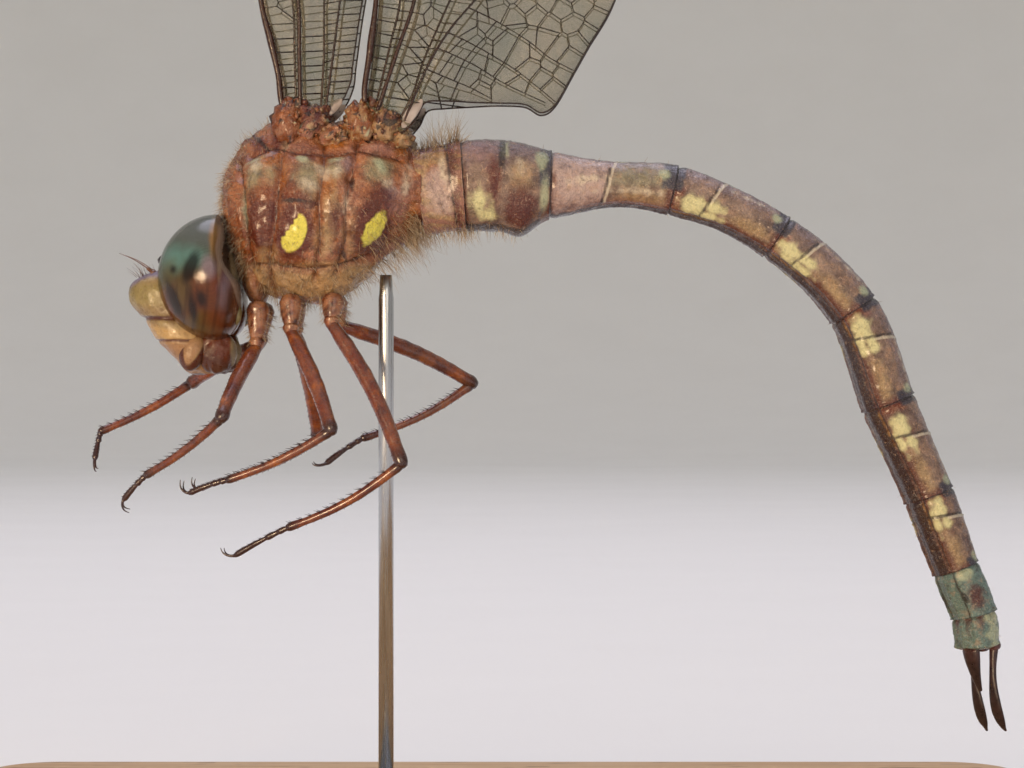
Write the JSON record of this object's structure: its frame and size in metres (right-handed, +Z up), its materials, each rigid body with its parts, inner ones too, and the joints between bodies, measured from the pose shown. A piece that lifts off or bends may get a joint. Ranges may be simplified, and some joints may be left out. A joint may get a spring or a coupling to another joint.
{
  "type": "dragonfly display model",
  "caption": "Life-size male spotted darner dragonfly with its wings raised over its back and its long abdomen curving down, held by a rod on a plain base.",
  "frame": {"origin": "centre of the underside of the stand's base, on the surface that it stands on", "axes": "+Z up, -X towards the dragonfly's head, +X towards its tail, -Y towards its left side"},
  "size_m": [0.06, 0.036, 0.0831],
  "materials": {
    "brown_cuticle": "reddish-brown chitin, satin",
    "face_cuticle": "tan-yellow chitin, satin",
    "mouth_cuticle": "dark red-brown chitin, glossy",
    "abdomen_cuticle": "mauve-brown chitin with yellow and green spots, satin",
    "compound_eye": "glossy facetted compound eye",
    "leg_cuticle": "reddish-brown chitin, satin",
    "dark_cuticle": "dark chitin, satin",
    "wing_membrane": "clear veined membrane, glossy",
    "steel": "drawn steel",
    "beech": "oiled beech"
  },
  "bodies": {
    "root": {"abdomen_1": "abdomen_cuticle", "abdomen_10": "abdomen_cuticle", "abdomen_2": "abdomen_cuticle", "abdomen_3": "abdomen_cuticle", "abdomen_4": "abdomen_cuticle", "abdomen_5": "abdomen_cuticle", "abdomen_6": "abdomen_cuticle", "abdomen_7": "abdomen_cuticle", "abdomen_8": "abdomen_cuticle", "abdomen_9": "abdomen_cuticle", "antenna_left": "dark_cuticle", "antenna_right": "dark_cuticle", "cercus_left": "dark_cuticle", "cercus_right": "dark_cuticle", "clypeus": "face_cuticle", "epiproct": "dark_cuticle", "eye_left": "compound_eye", "eye_right": "compound_eye", "foreleg_left_femur": "leg_cuticle", "foreleg_left_tarsus": "dark_cuticle", "foreleg_left_tibia": "leg_cuticle", "foreleg_right_femur": "leg_cuticle", "foreleg_right_tarsus": "dark_cuticle", "foreleg_right_tibia": "leg_cuticle", "forewing_left": "wing_membrane", "forewing_right": "wing_membrane", "frons": "face_cuticle", "head": "dark_cuticle", "hindleg_left_femur": "leg_cuticle", "hindleg_left_tarsus": "dark_cuticle", "hindleg_left_tibia": "leg_cuticle", "hindleg_right_femur": "leg_cuticle", "hindleg_right_tarsus": "dark_cuticle", "hindleg_right_tibia": "leg_cuticle", "hindwing_left": "wing_membrane", "hindwing_right": "wing_membrane", "labium": "mouth_cuticle", "labrum": "face_cuticle", "mandible_left": "mouth_cuticle", "mandible_right": "mouth_cuticle", "mesothorax": "brown_cuticle", "metathorax": "brown_cuticle", "midleg_left_femur": "leg_cuticle", "midleg_left_tarsus": "dark_cuticle", "midleg_left_tibia": "leg_cuticle", "midleg_right_femur": "leg_cuticle", "midleg_right_tarsus": "dark_cuticle", "midleg_right_tibia": "leg_cuticle", "prothorax": "brown_cuticle", "stand_base": "beech", "stand_collar": "steel", "stand_rod": "steel", "vertex": "dark_cuticle"}
  },
  "joints": []
}
